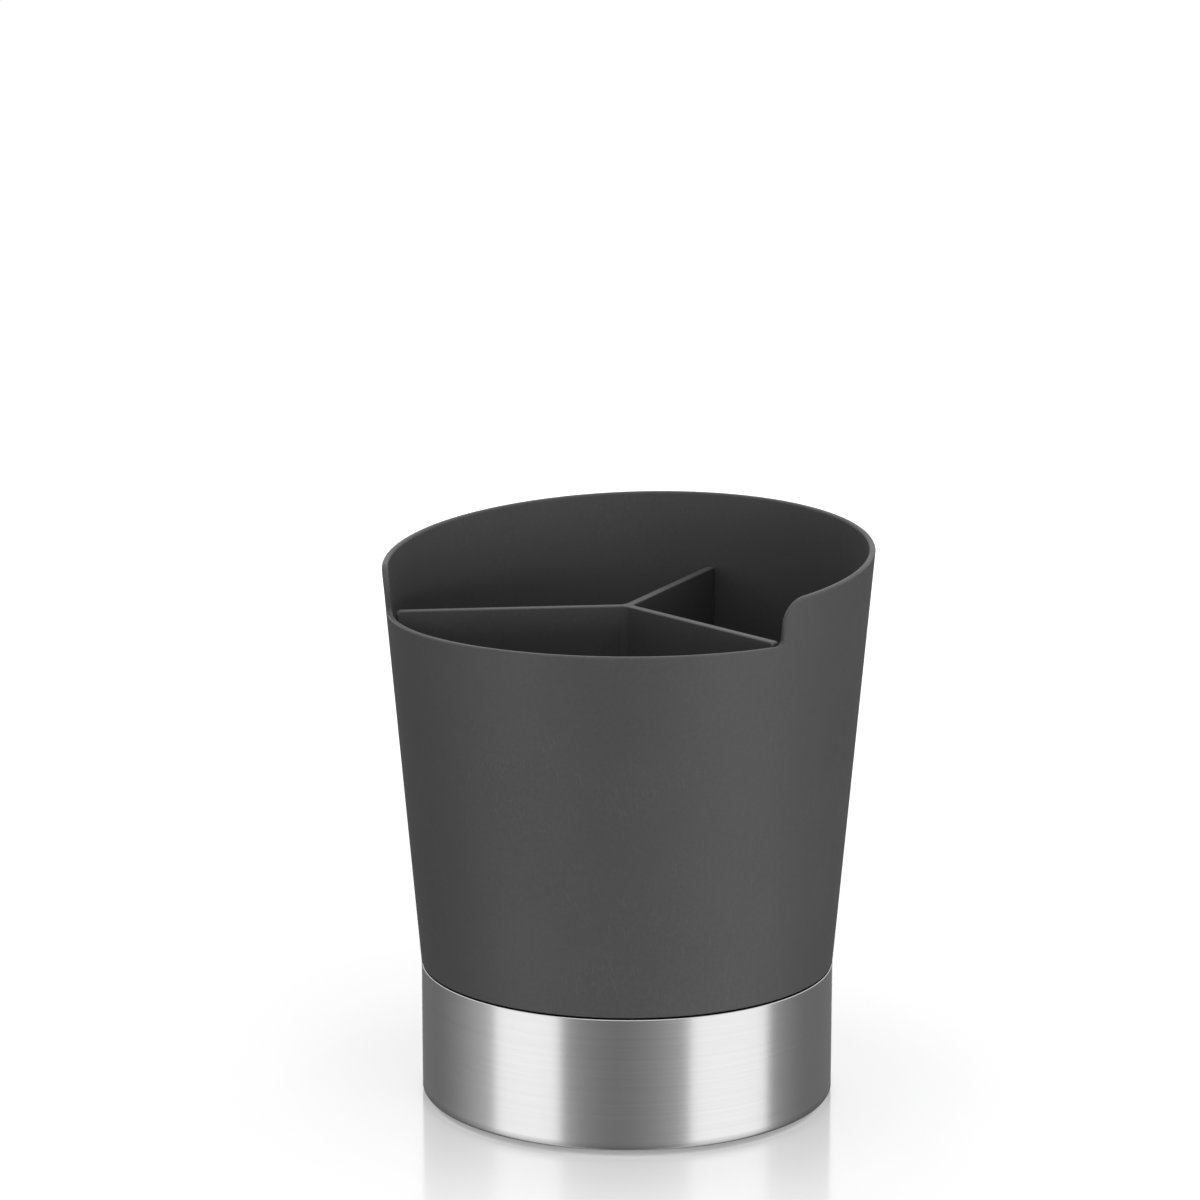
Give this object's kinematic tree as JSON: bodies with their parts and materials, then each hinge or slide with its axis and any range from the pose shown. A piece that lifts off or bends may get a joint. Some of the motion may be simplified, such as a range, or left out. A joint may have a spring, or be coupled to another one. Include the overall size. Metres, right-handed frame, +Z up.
{
  "type": "rotating straw holder",
  "caption": "Tapered round cup with a stepped rim and a lift-out divider, turning on a weighted steel-clad base; holds straws and bar tools upright.",
  "frame": {"origin": "on the table, under the middle of the base", "axes": "+Z up along the axis that the cup turns on; the low front of the rim faces -Y"},
  "size_m": [0.141, 0.1403, 0.1662],
  "materials": {
    "cup_plastic": "fine moulded matt, dark grey",
    "divider_plastic": "fine moulded matt, dark grey",
    "sleeve_steel": "fine brushed round the band",
    "core_plastic": "moulded, black",
    "cover_plastic": "moulded, black",
    "bush_plastic": "natural acetal",
    "cage_plastic": "natural nylon",
    "ballast_iron": "turned faces, oiled",
    "pivot_steel": "zinc plated",
    "screw_steel": "zinc plated",
    "insert_brass": "knurled",
    "ball_steel": "polished bearing steel",
    "foot_rubber": "soft, matt"
  },
  "bodies": {
    "base": {"base_sleeve": "sleeve_steel", "base_core": "core_plastic", "ballast_disc": "ballast_iron", "bottom_cover": "cover_plastic", "cover_screws": "screw_steel", "pivot_bush": "bush_plastic", "foot_pad_1": "foot_rubber", "foot_pad_2": "foot_rubber", "foot_pad_3": "foot_rubber", "foot_pad_4": "foot_rubber"},
    "ball_ring": {"ball_cage": "cage_plastic", "ball_01": "ball_steel", "ball_02": "ball_steel", "ball_03": "ball_steel", "ball_04": "ball_steel", "ball_05": "ball_steel", "ball_06": "ball_steel", "ball_07": "ball_steel", "ball_08": "ball_steel", "ball_09": "ball_steel", "ball_10": "ball_steel", "ball_11": "ball_steel", "ball_12": "ball_steel"},
    "cup_body": {"cup": "cup_plastic", "turntable_plate": "core_plastic", "journal_tube": "pivot_steel", "thrust_washer": "pivot_steel", "pivot_bolt": "pivot_steel", "threaded_insert": "insert_brass"},
    "divider": {"divider_insert": "divider_plastic"}
  },
  "joints": [
    {"name": "cup_spin", "type": "hinge", "parent": "base", "child": "cup_body", "pos_m": [0, 0, 0.0395], "axis": [0, 0, 1], "continuous": true},
    {"name": "ball_ring_spin", "type": "hinge", "parent": "base", "child": "ball_ring", "pos_m": [0, 0, 0.0365], "axis": [0, 0, 1], "continuous": true},
    {"name": "divider_lift", "type": "slide", "parent": "cup_body", "child": "divider", "axis": [0, 0, 1], "range_m": [0, 0.13]}
  ],
  "couplings": [
    {"joint": "ball_ring_spin", "follows": "cup_spin", "ratio": 0.5}
  ]
}
